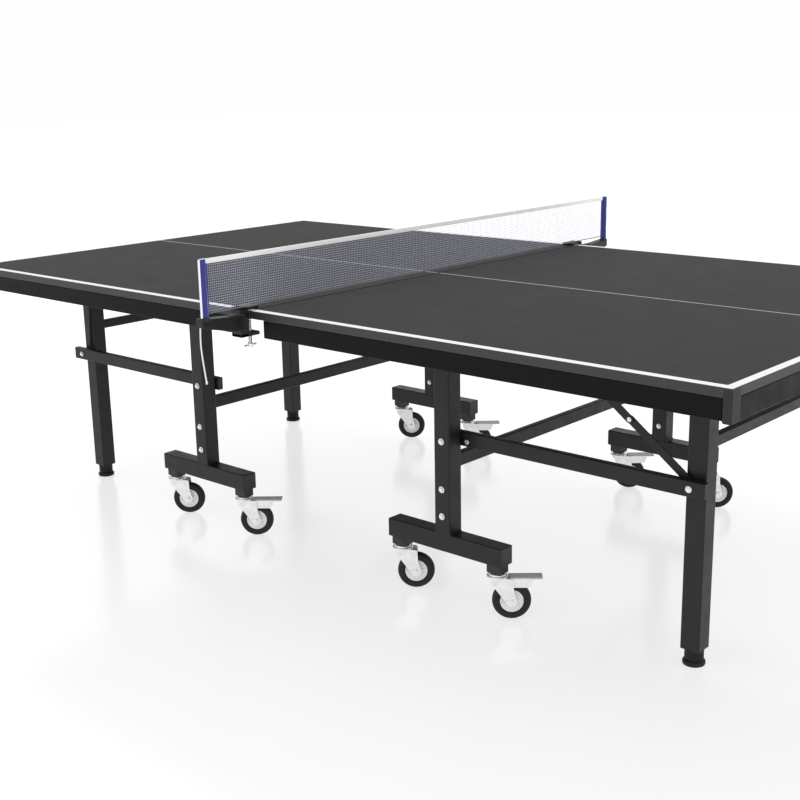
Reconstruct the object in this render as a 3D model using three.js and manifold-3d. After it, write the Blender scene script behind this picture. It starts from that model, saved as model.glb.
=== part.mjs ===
// Folding, roll-away ping pong table in two halves, with a clamp-on net.
// Millimetres, +Z up. The origin is on the floor under the middle of the net, +X runs along
// the table towards the right half, and -Y is its front long side.
import * as THREE from "three";
import { mergeVertices } from "three/addons/utils/BufferGeometryUtils.js";
import Module from "manifold-3d";

const wasm = await Module();
wasm.setup();

// ---- driving dimensions -------------------------------------------------------------------
const TABLE = { length: 2740, width: 1525, height: 760 };
const BOARD = { thickness: 22, innerGap: 4 };
const GAP = 0.3; // air left between two pieces that touch
const TUBE_WALL = 1.5;

const APRON = { depth: 20, bottom: 691, innerEnd: 48, endBottom: 687 };
const POST = { x: 479, y: 540, size: 50, top: 724 };
const LEG = { x: 1150, y: 453, size: 50, bottom: 40, top: 724 };
const PIVOT = { upper: 700, lower: 445, radius: 6, clearance: 0.4 };
const BASE = { length: 377, bottom: 148, top: 198, plug: 3 };
const MOUNT = { halfX: 22, halfY: 18, bottom: 125 };
const CARRIAGE_BAR = { thickness: 20, bottom: 366, top: 403 };
const LEG_BAR = { thickness: 20, bottom: 520, top: 548 };
const LINK = { inner: 446, outer: 1190, yInner: 492, yOuter: 512, height: 38 };
const STUB = { width: 30, wall: 2, bottom: 690, roof: 6 };
const STAY = { upperX: 810, width: 20, thickness: 2.5, lowerY: 484.3, upperY: 487.1 };
const HANGER = { yInner: 480, yOuter: 483 };

const CASTER = {
  offset: 160, restSwivel: 40, trail: 36, wheelRadius: 50, wheelWidth: 26, stemRadius: 9,
};
const FORK = {
  plate: 2.5, halfWidth: 20, crownRadius: 28, crownTop: 119, crownBottom: 113.5,
  shoulder: 18, shoulderBottom: 102, front: 40, frontBottom: 84, eyeRadius: 13, axleRadius: 5,
};
const PEDAL = {
  pivotX: 25, pivotZ: 107, pinRadius: 3.2, eye: 5,
  inner: 30, outer: 114, halfWidth: 16.7, bottom: 112, top: 116,
};
const SKIRT = { thickness: 2, outer: 92, tipX: 82, bottom: 88 };
const SHOE = { inner: 50, outer: 75, halfWidth: 10, bottom: 106 };
const FOOT = {
  soleRadius: 24, padRadius: 27, padHeight: 12, neckRadius: 20, neckTop: 16,
  collarRadius: 22.8, studRadius: 6, studTop: 75,
};

const NET = { postY: 915, postRadius: 10, top: 912.5, bottom: 772, halfThickness: 1.5 };
const CLAMP = { xInner: -6, xOuter: -45, reach: 37, back: 27, jaw: 8, lowerTop: 700, lowerBottom: 690 };
const ARM = { xLow: -20, xHigh: 9, outerY: 928, outerTop: 762, outerBottom: 738, innerBottom: 714 };
const CORD_RADIUS = 2;
// The free end of the net's tension cord, hanging from the front arm.
const CORD_POINTS = [
  [0.0, -930.5, 740.0],
  [0.0, -930.9, 733.0],
  [-0.3, -931.2, 725.0],
  [-0.8, -931.2, 716.0],
  [-1.4, -930.9, 707.0],
  [-1.9, -930.4, 698.0],
  [-2.2, -929.8, 688.0],
  [-2.1, -929.1, 678.0],
  [-1.6, -928.4, 668.0],
  [-0.9, -927.8, 658.0],
  [-0.1, -927.2, 648.0],
  [0.8, -926.6, 638.0],
  [1.8, -926.0, 628.0],
  [2.9, -925.4, 618.0],
  [4.1, -924.8, 608.0],
  [5.2, -924.2, 598.0],
];

const halfLength = TABLE.length / 2;
const halfWidth = TABLE.width / 2;
const boardBottom = TABLE.height - BOARD.thickness;
const frameTop = boardBottom - GAP;

// ---- finishes -----------------------------------------------------------------------------
const finish = (color, roughness, metalness) =>
  new THREE.MeshStandardMaterial({ color, roughness, metalness });
const FINISH = {
  playfield: () => finish(0x2e2e30, 0.7, 0),
  frame: () => finish(0x1d1d1e, 0.45, 0.3),
  zinc: () => finish(0xc4c6c8, 0.35, 0.9),
  tyre: () => finish(0x17181a, 0.6, 0),
  rubber: () => finish(0x121212, 0.75, 0),
  pedal: () => finish(0xb4b7b9, 0.5, 0),
  sleeve: () => finish(0x232a80, 0.6, 0),
  netting: () => finish(0xc8cbd6, 0.9, 0),
  cord: () => finish(0xf0f0ee, 0.9, 0),
};

// ---- solid helpers ------------------------------------------------------------------------
function solid(geometry) {
  const bare = geometry.clone();
  bare.deleteAttribute("normal");
  bare.deleteAttribute("uv");
  const merged = mergeVertices(bare, 1e-4);
  const vertProperties = new Float32Array(merged.attributes.position.array);
  const triVerts = new Uint32Array(merged.index.array);
  return new wasm.Manifold(new wasm.Mesh({ numProp: 3, vertProperties, triVerts }));
}

function toGeometry(shape) {
  const mesh = shape.getMesh();
  const geometry = new THREE.BufferGeometry();
  geometry.setAttribute("position", new THREE.BufferAttribute(mesh.vertProperties, 3));
  geometry.setIndex(new THREE.BufferAttribute(mesh.triVerts, 1));
  return geometry;
}

const degrees = THREE.MathUtils.degToRad;
const joined = (...shapes) => shapes.reduce((whole, shape) => whole.add(shape));
const cut = (shape, ...tools) => tools.reduce((whole, tool) => whole.subtract(tool), shape);

function block([x0, x1], [y0, y1], [z0, z1]) {
  const geometry = new THREE.BoxGeometry(x1 - x0, y1 - y0, z1 - z0);
  geometry.translate((x0 + x1) / 2, (y0 + y1) / 2, (z0 + z1) / 2);
  return solid(geometry);
}

// A round bar along Y, at (x, z), from y0 to y1.
function pinAlongY(x, z, radius, y0, y1, sides = 12) {
  const geometry = new THREE.CylinderGeometry(radius, radius, Math.abs(y1 - y0), sides);
  geometry.translate(x, (y0 + y1) / 2, z);
  return solid(geometry);
}

// A round bar along Z, at (x, y), from z0 to z1.
function pinAlongZ(x, y, radius, z0, z1, sides = 12) {
  const geometry = new THREE.CylinderGeometry(radius, radius, z1 - z0, sides);
  geometry.rotateX(Math.PI / 2);
  geometry.translate(x, y, (z0 + z1) / 2);
  return solid(geometry);
}

// An outline in the XZ plane, extruded along Y from y0 to y1.
function plateAcrossY(outline, y0, y1) {
  const low = Math.min(y0, y1);
  const geometry = new THREE.ExtrudeGeometry(outline, {
    depth: Math.abs(y1 - y0), bevelEnabled: false, curveSegments: 3,
  });
  geometry.rotateX(Math.PI / 2);
  geometry.translate(0, low + Math.abs(y1 - y0), 0);
  return solid(geometry);
}

function piece(name, shape, material) {
  const geometry = shape.isBufferGeometry ? shape : toGeometry(shape);
  const mesh = new THREE.Mesh(geometry, material);
  mesh.name = name;
  return mesh;
}

// The two ends of a span on one side of the table, in rising order.
const onSide = (side, near, far) => (side > 0 ? [near, far] : [-far, -near]);

// ---- tabletop -----------------------------------------------------------------------------
function board() {
  const x = [BOARD.innerGap, halfLength];
  return block(x, [-halfWidth, halfWidth], [boardBottom, TABLE.height]);
}

// A stub channel, open below, that reaches inwards from the side rail to a pivot pin.
function pivotStub(side, x, yInner, pinEnd) {
  const half = STUB.width / 2;
  const inside = half - STUB.wall;
  const yRail = halfWidth - APRON.depth + 1;
  const channel = cut(
    block([x - half, x + half], onSide(side, yInner, yRail), [STUB.bottom, frameTop]),
    block(
      [x - inside, x + inside],
      onSide(side, yInner + 4, yRail + 1),
      [STUB.bottom - 1, frameTop - STUB.roof],
    ),
  );
  const pin = pinAlongY(x, PIVOT.upper, PIVOT.radius, side * (yInner + 2), side * pinEnd);
  return joined(channel, pin);
}

// The plate that the folding stay hangs from, on a flat bar that passes over the link rail.
function stayHanger(side) {
  const x = [STAY.upperX - STUB.width / 2, STAY.upperX + STUB.width / 2];
  const yRail = halfWidth - APRON.depth + 1;
  const bar = block(x, onSide(side, HANGER.yInner, yRail), [frameTop - STUB.roof, frameTop]);
  const drop = [PIVOT.upper - STAY.width / 2, frameTop];
  return joined(bar, block(x, onSide(side, HANGER.yInner, HANGER.yOuter), drop));
}

function sideRail(side, hasStay) {
  const outer = halfWidth - 0.5;
  const inner = halfWidth - APRON.depth;
  const x = [APRON.innerEnd, halfLength - APRON.depth - 1];
  const tube = cut(
    block(x, onSide(side, inner, outer), [APRON.bottom, frameTop]),
    block(
      [x[0] - 1, x[1] + 1],
      onSide(side, inner + TUBE_WALL, outer - TUBE_WALL),
      [APRON.bottom + TUBE_WALL, frameTop - TUBE_WALL],
    ),
  );
  const postStub = pivotStub(side, POST.x, POST.y + POST.size / 2 + 3, LINK.yOuter + 1);
  const legFace = LEG.y + LEG.size / 2;
  const legStub = pivotStub(side, LEG.x, legFace + 3, legFace - LEG.size - 2);
  const rail = joined(tube, postStub, legStub);
  return hasStay ? joined(rail, stayHanger(side)) : rail;
}

function endRail() {
  const y = halfWidth - 0.5;
  const x = [halfLength - APRON.depth, halfLength - 0.5];
  return cut(
    block(x, [-y, y], [APRON.endBottom, frameTop]),
    block(
      [x[0] + TUBE_WALL, x[1] - TUBE_WALL],
      [-y - 1, y + 1],
      [APRON.endBottom + TUBE_WALL, frameTop - TUBE_WALL],
    ),
  );
}

// ---- carriage -----------------------------------------------------------------------------
function tFrame(side) {
  const half = POST.size / 2;
  const inside = half - TUBE_WALL;
  const beamX = [POST.x - BASE.length / 2, POST.x + BASE.length / 2];
  const y = onSide(side, POST.y - half, POST.y + half);
  const yInside = onSide(side, POST.y - inside, POST.y + inside);
  const post = block([POST.x - half, POST.x + half], y, [BASE.top - 1, POST.top]);
  const beam = block(beamX, y, [BASE.bottom, BASE.top]);
  const insideBase = [BASE.bottom + TUBE_WALL, BASE.top - TUBE_WALL];
  const hollow = joined(
    block([POST.x - inside, POST.x + inside], yInside, [insideBase[0], POST.top + 1]),
    block([beamX[0] + BASE.plug, beamX[1] - BASE.plug], yInside, insideBase),
  );
  const yMount = onSide(side, POST.y - MOUNT.halfY, POST.y + MOUNT.halfY);
  const mounts = [-1, 1].map((end) => {
    const x = POST.x + end * CASTER.offset;
    return block([x - MOUNT.halfX, x + MOUNT.halfX], yMount, [MOUNT.bottom, BASE.bottom + 1]);
  });
  const pivotHole = pinAlongY(
    POST.x, PIVOT.upper, PIVOT.radius + PIVOT.clearance, side * (POST.y - 30), side * (POST.y + 30),
  );
  const pin = pinAlongY(
    POST.x, PIVOT.lower, PIVOT.radius, side * (POST.y + half - 1), side * (LINK.yInner - 1.5),
  );
  return joined(cut(joined(post, beam, ...mounts), hollow, pivotHole), pin);
}

function carriageBar() {
  const half = CARRIAGE_BAR.thickness / 2;
  const y = POST.y - POST.size / 2 - GAP;
  return cut(
    block([POST.x - half, POST.x + half], [-y, y], [CARRIAGE_BAR.bottom, CARRIAGE_BAR.top]),
    block(
      [POST.x - half + TUBE_WALL, POST.x + half - TUBE_WALL],
      [-y - 1, y + 1],
      [CARRIAGE_BAR.bottom + TUBE_WALL, CARRIAGE_BAR.top - TUBE_WALL],
    ),
  );
}

// ---- folding links, legs and stays --------------------------------------------------------
function linkRail(side) {
  const z = [PIVOT.lower - LINK.height / 2, PIVOT.lower + LINK.height / 2];
  const tube = cut(
    block([LINK.inner, LINK.outer], onSide(side, LINK.yInner, LINK.yOuter), z),
    block(
      [LINK.inner - 1, LINK.outer + 1],
      onSide(side, LINK.yInner + TUBE_WALL, LINK.yOuter - TUBE_WALL),
      [z[0] + TUBE_WALL, z[1] - TUBE_WALL],
    ),
  );
  const holes = [POST.x, LEG.x].map((x) => pinAlongY(
    x, PIVOT.lower, PIVOT.radius + PIVOT.clearance, side * (LINK.yInner - 2), side * (LINK.yOuter + 2),
  ));
  return cut(tube, ...holes);
}

function endLeg(side) {
  const half = LEG.size / 2;
  const inside = half - TUBE_WALL;
  const tube = cut(
    block([LEG.x - half, LEG.x + half], onSide(side, LEG.y - half, LEG.y + half), [LEG.bottom, LEG.top]),
    block(
      [LEG.x - inside, LEG.x + inside],
      onSide(side, LEG.y - inside, LEG.y + inside),
      [LEG.bottom - 1, LEG.top + 1],
    ),
    pinAlongY(
      LEG.x, PIVOT.upper, PIVOT.radius + PIVOT.clearance, side * (LEG.y - 30), side * (LEG.y + 30),
    ),
  );
  const bolt = pinAlongY(
    LEG.x, PIVOT.lower, PIVOT.radius, side * (LEG.y - half + 1), side * (LINK.yOuter + 2),
  );
  const head = pinAlongY(
    LEG.x, PIVOT.lower, PIVOT.radius + 3, side * (LINK.yOuter + GAP), side * (LINK.yOuter + 4),
  );
  return joined(tube, bolt, head);
}

function legBar() {
  const half = LEG_BAR.thickness / 2;
  const y = LEG.y - LEG.size / 2 - GAP;
  return cut(
    block([LEG.x - half, LEG.x + half], [-y, y], [LEG_BAR.bottom, LEG_BAR.top]),
    block(
      [LEG.x - half + TUBE_WALL, LEG.x + half - TUBE_WALL],
      [-y - 1, y + 1],
      [LEG_BAR.bottom + TUBE_WALL, LEG_BAR.top - TUBE_WALL],
    ),
  );
}

// A flat link with round ends between two pivots, in the XZ plane.
function flatLink(side, from, to, holeRadius, yLow) {
  const radius = STAY.width / 2;
  const along = Math.atan2(to.z - from.z, to.x - from.x);
  const outline = new THREE.Shape();
  outline.absarc(to.x, to.z, radius, along - Math.PI / 2, along + Math.PI / 2, false);
  outline.absarc(from.x, from.z, radius, along + Math.PI / 2, along + (3 * Math.PI) / 2, false);
  outline.closePath();
  const plate = plateAcrossY(outline, side * yLow, side * (yLow + STAY.thickness));
  if (!holeRadius) {
    return plate;
  }
  return cut(plate, pinAlongY(from.x, from.z, holeRadius, side * (yLow - 2), side * (yLow + 6)));
}

const stayTop = { x: STAY.upperX, z: PIVOT.upper };
const stayBottom = { x: LEG.x, z: PIVOT.lower };
const stayKnee = { x: (stayTop.x + stayBottom.x) / 2, z: (stayTop.z + stayBottom.z) / 2 };

function stayLower(side) {
  const link = flatLink(side, stayBottom, stayKnee, PIVOT.radius + PIVOT.clearance, STAY.lowerY);
  const rivet = pinAlongY(
    stayKnee.x, stayKnee.z, 4, side * (STAY.lowerY + 1), side * (STAY.upperY + STAY.thickness + 1),
  );
  return joined(link, rivet);
}

function stayUpper(side) {
  const link = flatLink(side, stayKnee, stayTop, 4 + PIVOT.clearance, STAY.upperY);
  const rivet = pinAlongY(
    stayTop.x, stayTop.z, 5, side * (HANGER.yOuter + GAP), side * (STAY.upperY + 1),
  );
  return joined(link, rivet);
}

function levellingFoot(side) {
  const profile = [
    [0, 0], [FOOT.soleRadius, 0], [FOOT.padRadius, 3], [FOOT.padRadius, FOOT.padHeight - 3],
    [FOOT.padRadius - 3, FOOT.padHeight], [FOOT.neckRadius, FOOT.padHeight + 1],
    [FOOT.neckRadius, FOOT.neckTop], [FOOT.collarRadius, FOOT.neckTop + 1],
    [FOOT.collarRadius, LEG.bottom - GAP],
    [FOOT.studRadius, LEG.bottom - GAP], [FOOT.studRadius, FOOT.studTop], [0, FOOT.studTop],
  ].map(([r, z]) => new THREE.Vector2(r, z));
  const geometry = new THREE.LatheGeometry(profile, 16);
  geometry.rotateX(Math.PI / 2);
  geometry.translate(LEG.x, side * LEG.y, 0);
  return solid(geometry);
}

// ---- casters ------------------------------------------------------------------------------
// Each is made about its own swivel axis with the wheel trailing towards +X, then swivelled.
function casterFork() {
  const stem = pinAlongZ(0, 0, CASTER.stemRadius, FORK.crownTop - 1, MOUNT.bottom - GAP);
  const crown = pinAlongZ(0, 0, FORK.crownRadius, FORK.crownBottom, FORK.crownTop, 24);
  const outline = new THREE.Shape();
  outline.moveTo(-FORK.shoulder, FORK.crownTop - 1);
  outline.lineTo(-FORK.shoulder, FORK.shoulderBottom);
  outline.absarc(
    CASTER.trail, CASTER.wheelRadius, FORK.eyeRadius, degrees(205), degrees(380), false,
  );
  outline.lineTo(FORK.front, FORK.frontBottom);
  outline.lineTo(FORK.front, FORK.crownBottom - 4);
  outline.lineTo(FORK.shoulder, FORK.crownTop - 1);
  outline.closePath();
  const plates = [-1, 1].map((side) => plateAcrossY(
    outline, side * FORK.halfWidth, side * (FORK.halfWidth - FORK.plate),
  ));
  const reach = FORK.halfWidth + 3;
  const axle = pinAlongY(CASTER.trail, CASTER.wheelRadius, FORK.axleRadius, -reach, reach);
  return joined(stem, crown, ...plates, axle);
}

function casterWheel() {
  const half = CASTER.wheelWidth / 2;
  const bore = FORK.axleRadius + GAP;
  const side = [
    [bore, 16.5], [11, 16.5], [13, half - 4], [31, half - 4], [34, half],
    [CASTER.wheelRadius - 5, half], [CASTER.wheelRadius, half - 6],
  ];
  const other = side.map(([r, y]) => [r, -y]);
  const profile = [...other, ...side.reverse(), other[0]].map(([r, y]) => new THREE.Vector2(r, y));
  const geometry = new THREE.LatheGeometry(profile, 16);
  geometry.translate(CASTER.trail, 0, CASTER.wheelRadius);
  return solid(geometry);
}

// A lever that pivots in the fork, with a skirt down each side of the tyre and a shoe above it.
function brakePedal() {
  const plate = block(
    [PEDAL.inner, PEDAL.outer], [-PEDAL.halfWidth, PEDAL.halfWidth], [PEDAL.bottom, PEDAL.top],
  );
  const outline = new THREE.Shape();
  outline.moveTo(PEDAL.pivotX - PEDAL.eye, PEDAL.pivotZ - PEDAL.eye);
  outline.lineTo(PEDAL.inner, SKIRT.bottom);
  outline.lineTo(SKIRT.tipX, SKIRT.bottom);
  outline.lineTo(SKIRT.outer, PEDAL.bottom + 1);
  outline.lineTo(PEDAL.inner, PEDAL.bottom + 1);
  outline.lineTo(PEDAL.pivotX - PEDAL.eye, PEDAL.pivotZ + PEDAL.eye);
  outline.closePath();
  const skirts = [-1, 1].map((side) => plateAcrossY(
    outline, side * PEDAL.halfWidth, side * (PEDAL.halfWidth - SKIRT.thickness),
  ));
  const shoe = block(
    [SHOE.inner, SHOE.outer], [-SHOE.halfWidth, SHOE.halfWidth], [SHOE.bottom, PEDAL.bottom + 1],
  );
  const reach = FORK.halfWidth - FORK.plate - GAP;
  const pin = pinAlongY(PEDAL.pivotX, PEDAL.pivotZ, PEDAL.pinRadius, -reach, reach);
  return joined(plate, ...skirts, shoe, pin);
}

// ---- net ----------------------------------------------------------------------------------
function netClamp(side) {
  const x = [CLAMP.xOuter, CLAMP.xInner];
  const tip = halfWidth - CLAMP.reach;
  const face = halfWidth + 0.8;
  const outer = face + CLAMP.back;
  const boardTop = TABLE.height + GAP;
  const upper = block(x, onSide(side, tip, outer), [boardTop, boardTop + CLAMP.jaw]);
  const back = block(x, onSide(side, face, outer), [CLAMP.lowerBottom, boardTop + 1]);
  const lower = block(x, onSide(side, tip, outer), [CLAMP.lowerBottom, CLAMP.lowerTop]);
  const outline = new THREE.Shape();
  outline.moveTo(outer - 2, ARM.innerBottom);
  outline.lineTo(outer + 30, ARM.innerBottom);
  outline.lineTo(ARM.outerY, ARM.outerBottom);
  outline.lineTo(ARM.outerY, ARM.outerTop);
  outline.lineTo(outer + 30, ARM.outerTop - 8);
  outline.lineTo(outer - 2, ARM.outerTop - 8);
  outline.closePath();
  const geometry = new THREE.ExtrudeGeometry(outline, { depth: ARM.xHigh - ARM.xLow, bevelEnabled: false });
  geometry.rotateX(Math.PI / 2);
  geometry.rotateZ(Math.PI / 2);
  geometry.translate(ARM.xLow, 0, 0);
  const arm = solid(geometry);
  const armOnSide = side > 0 ? arm : arm.mirror([0, 1, 0]);
  const screwHole = pinAlongZ(
    (x[0] + x[1]) / 2, side * (halfWidth - CLAMP.reach / 2), 5 + GAP, CLAMP.lowerBottom - 1, CLAMP.lowerTop + 1,
  );
  return cut(joined(upper, back, lower, armOnSide), screwHole);
}

function clampScrew(side) {
  const x = (CLAMP.xInner + CLAMP.xOuter) / 2;
  const y = side * (halfWidth - CLAMP.reach / 2);
  const pad = pinAlongZ(x, y, 10, frameTop - 5, frameTop);
  const shaft = pinAlongZ(x, y, 5, 656, frameTop - 4);
  const knob = pinAlongZ(x, y, 8, 656, 668);
  const bar = pinAlongY(x, 662, 3, y - 20, y + 20);
  return joined(pad, shaft, knob, bar);
}

function netPost(side) {
  return pinAlongZ(0, side * NET.postY, NET.postRadius, ARM.outerTop + GAP, NET.top, 16);
}

function netting() {
  const y = NET.postY - NET.postRadius - 1;
  return block([-NET.halfThickness, NET.halfThickness], [-y, y], [NET.bottom, NET.top]);
}

function cord() {
  const points = CORD_POINTS.map(([x, y, z]) => new THREE.Vector3(x, y, z));
  const section = new THREE.Shape();
  section.absarc(0, 0, CORD_RADIUS, 0, Math.PI * 2, false);
  return new THREE.ExtrudeGeometry(section, {
    steps: 16,
    curveSegments: 4,
    bevelEnabled: false,
    extrudePath: new THREE.CatmullRomCurve3(points),
  });
}

// ---- assembly -----------------------------------------------------------------------------
// One half, in the right half's place. The left half is the same thing turned half a turn,
// so its front and back trade places.
function halfTable(half) {
  const group = new THREE.Group();
  const add = (name, shape, material) => group.add(piece(`${half}_${name}`, shape, material));
  const stayOn = -1;
  add("board", board(), FINISH.playfield());
  add("end_rail", endRail(), FINISH.frame());
  add("carriage_crossbar", carriageBar(), FINISH.frame());
  add("leg_crossbar", legBar(), FINISH.frame());
  for (const side of [-1, 1]) {
    const place = (side < 0) === (half === "right") ? "front" : "back";
    add(`${place}_side_rail`, sideRail(side, side === stayOn), FINISH.frame());
    add(`${place}_t_frame`, tFrame(side), FINISH.frame());
    add(`${place}_link_rail`, linkRail(side), FINISH.frame());
    add(`${place}_end_leg`, endLeg(side), FINISH.frame());
    add(`${place}_foot`, levellingFoot(side), FINISH.rubber());
  }
  add("stay_lower", stayLower(stayOn), FINISH.frame());
  add("stay_upper", stayUpper(stayOn), FINISH.frame());
  group.rotation.z = half === "right" ? 0 : Math.PI;
  return group;
}

// Every caster stands swivelled the same way, and one on each T-frame has a brake pedal.
function casters() {
  const group = new THREE.Group();
  for (const [half, across] of [["right", 1], ["left", -1]]) {
    for (const [place, side] of [["front", -1], ["back", 1]]) {
      for (const [end, out] of [["inner", -1], ["outer", 1]]) {
        const corner = new THREE.Group();
        corner.position.set(across * (POST.x + out * CASTER.offset), side * POST.y, 0);
        corner.rotation.z = degrees(CASTER.restSwivel);
        const name = `${half}_${place}_${end}`;
        corner.add(piece(`${name}_fork`, casterFork(), FINISH.zinc()));
        corner.add(piece(`${name}_wheel`, casterWheel(), FINISH.tyre()));
        const braked = half === "right" && place === "front" ? "outer" : "inner";
        if (end === braked) {
          corner.add(piece(`${half}_${place}_brake_pedal`, brakePedal(), FINISH.pedal()));
        }
        group.add(corner);
      }
    }
  }
  return group;
}

function netSet() {
  const group = new THREE.Group();
  for (const [place, side] of [["front", -1], ["back", 1]]) {
    group.add(piece(`${place}_net_clamp`, netClamp(side), FINISH.frame()));
    group.add(piece(`${place}_clamp_screw`, clampScrew(side), FINISH.zinc()));
    group.add(piece(`${place}_net_post`, netPost(side), FINISH.sleeve()));
  }
  group.add(piece("net", netting(), FINISH.netting()));
  group.add(piece("tension_cord", cord(), FINISH.cord()));
  return group;
}

const table = new THREE.Group();
table.add(halfTable("right"), halfTable("left"), casters(), netSet());

export default table;
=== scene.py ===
"""Looks of a folding, roll-away ping pong table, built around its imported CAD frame.

The frame's axes are kept: +X along the table, -Y its front long side, +Z up. Shapes are worked
out in millimetres, and each piece is scaled to metres as it is finished. Half a table is built
in the right half's place, and the left half is the same shapes turned half a turn.
"""

import math

import bmesh
import bpy
from mathutils import Matrix, Vector


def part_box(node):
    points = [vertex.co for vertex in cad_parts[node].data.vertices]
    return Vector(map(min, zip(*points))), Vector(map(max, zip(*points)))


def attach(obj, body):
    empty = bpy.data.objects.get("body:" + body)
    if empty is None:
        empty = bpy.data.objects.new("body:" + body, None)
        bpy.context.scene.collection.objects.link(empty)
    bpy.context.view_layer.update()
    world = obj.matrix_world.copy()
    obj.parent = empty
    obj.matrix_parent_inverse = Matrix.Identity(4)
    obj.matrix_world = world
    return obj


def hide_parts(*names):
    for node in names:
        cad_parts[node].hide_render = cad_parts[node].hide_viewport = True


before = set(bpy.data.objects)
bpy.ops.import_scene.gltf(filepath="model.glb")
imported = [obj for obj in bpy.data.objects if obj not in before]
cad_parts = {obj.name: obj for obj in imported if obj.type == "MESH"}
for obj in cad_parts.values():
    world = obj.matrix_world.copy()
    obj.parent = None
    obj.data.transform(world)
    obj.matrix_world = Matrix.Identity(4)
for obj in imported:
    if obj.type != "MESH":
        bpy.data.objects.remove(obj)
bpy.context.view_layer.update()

MM = 0.001
HALVES = ("right", "left")
PLACES = ("front", "back")
ENDS = ("inner", "outer")
SHARP_ANGLE = math.radians(38)
TINY = 1e-6


# ---- camera ----
CAMERA_PLACE = (2.461, -2.932, 1.362)
CAMERA_AZIMUTH = 41.844
CAMERA_ELEVATION = 14.633
CAMERA_ROLL = -1.082
CAMERA_LENS = 57.11


def make_camera():
    azimuth = math.radians(CAMERA_AZIMUTH)
    elevation = math.radians(CAMERA_ELEVATION)
    flat = math.cos(elevation)
    ahead = Vector((-math.sin(azimuth) * flat, math.cos(azimuth) * flat, -math.sin(elevation)))
    right = Vector((math.cos(azimuth), math.sin(azimuth), 0))
    level = Matrix((right, right.cross(ahead), -ahead)).transposed().to_4x4()
    data = bpy.data.cameras.new("camera")
    data.lens = CAMERA_LENS
    camera = bpy.data.objects.new("camera", data)
    bpy.context.scene.collection.objects.link(camera)
    roll = Matrix.Rotation(math.radians(CAMERA_ROLL), 4, "Z")
    camera.matrix_world = Matrix.Translation(CAMERA_PLACE) @ level @ roll
    bpy.context.scene.camera = camera


make_camera()


# ---- material helpers ----
def new_material(name, colour, roughness, metallic=0.0):
    material = bpy.data.materials.new(name)
    material.use_nodes = True
    shader = material.node_tree.nodes["Principled BSDF"]
    shader.inputs["Base Color"].default_value = (*colour, 1)
    shader.inputs["Roughness"].default_value = roughness
    shader.inputs["Metallic"].default_value = metallic
    return material, material.node_tree, shader


def own_coordinates(tree):
    return tree.nodes.new("ShaderNodeTexCoord").outputs["Object"]


def noise(tree, per_metre, detail=2.0, stretch=(1, 1, 1)):
    """Noise in the piece's own space, with about that many lumps to a metre."""
    mapping = tree.nodes.new("ShaderNodeMapping")
    mapping.inputs["Scale"].default_value = stretch
    texture = tree.nodes.new("ShaderNodeTexNoise")
    texture.inputs["Scale"].default_value = per_metre
    texture.inputs["Detail"].default_value = detail
    tree.links.new(own_coordinates(tree), mapping.inputs["Vector"])
    tree.links.new(mapping.outputs["Vector"], texture.inputs["Vector"])
    return texture.outputs["Fac"]


def threads(tree, direction, pitch_mm):
    """Parallel ridges across a direction, a pitch apart, in the piece's own space."""
    wave_length = math.pi / 10
    texture = tree.nodes.new("ShaderNodeTexWave")
    texture.bands_direction = direction
    texture.inputs["Scale"].default_value = wave_length / (pitch_mm * MM)
    texture.inputs["Distortion"].default_value = 0.0
    tree.links.new(own_coordinates(tree), texture.inputs["Vector"])
    return texture.outputs["Fac"]


def calculate(tree, operation, first, second):
    node = tree.nodes.new("ShaderNodeMath")
    node.operation = operation
    for socket, value in zip(node.inputs, (first, second)):
        if isinstance(value, (int, float)):
            socket.default_value = value
        else:
            tree.links.new(value, socket)
    return node.outputs["Value"]


def spread(tree, shader, factor, low, high):
    """Drives the roughness from low to high as the factor goes over its middle range."""
    node = tree.nodes.new("ShaderNodeMapRange")
    node.inputs["From Min"].default_value = 0.3
    node.inputs["From Max"].default_value = 0.7
    node.inputs["To Min"].default_value = low
    node.inputs["To Max"].default_value = high
    tree.links.new(factor, node.inputs["Value"])
    tree.links.new(node.outputs["Result"], shader.inputs["Roughness"])


def shade(colour, factor):
    return tuple(channel * factor for channel in colour)


def two_tone(tree, shader, factor, colour, dark, light=1.0):
    """Colours a shader from dark to light times a colour, over the factor's middle range."""
    node = tree.nodes.new("ShaderNodeValToRGB")
    node.color_ramp.elements[0].position = 0.3
    node.color_ramp.elements[0].color = (*shade(colour, dark), 1)
    node.color_ramp.elements[1].position = 0.7
    node.color_ramp.elements[1].color = (*shade(colour, light), 1)
    tree.links.new(factor, node.inputs["Fac"])
    tree.links.new(node.outputs["Color"], shader.inputs["Base Color"])


def relief(tree, shader, height, depth_mm, strength=1.0):
    node = tree.nodes.new("ShaderNodeBump")
    node.inputs["Strength"].default_value = strength
    node.inputs["Distance"].default_value = depth_mm * MM
    tree.links.new(height, node.inputs["Height"])
    tree.links.new(node.outputs["Normal"], shader.inputs["Normal"])


# ---- materials ----
def lacquer():
    """Matte dark grey top: a fine even speckle and a dry, slightly uneven sheen."""
    colour = (0.028, 0.028, 0.0292)
    material, tree, shader = new_material("matte_lacquer", colour, 0.6)
    two_tone(tree, shader, noise(tree, 900, 3), colour, 0.88, 1.12)
    spread(tree, shader, noise(tree, 9, 4), 0.6, 0.64)
    relief(tree, shader, noise(tree, 1600), 0.05)
    shader.inputs["Specular IOR Level"].default_value = 0.075
    return material


def painted_edge():
    """The board's sides: the same paint rolled on, a little darker, with roller stipple."""
    colour = (0.02, 0.02, 0.021)
    material, tree, shader = new_material("board_edge_paint", colour, 0.5)
    two_tone(tree, shader, noise(tree, 300, 4), colour, 0.8, 1.25)
    relief(tree, shader, noise(tree, 700), 0.12)
    return material


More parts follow.
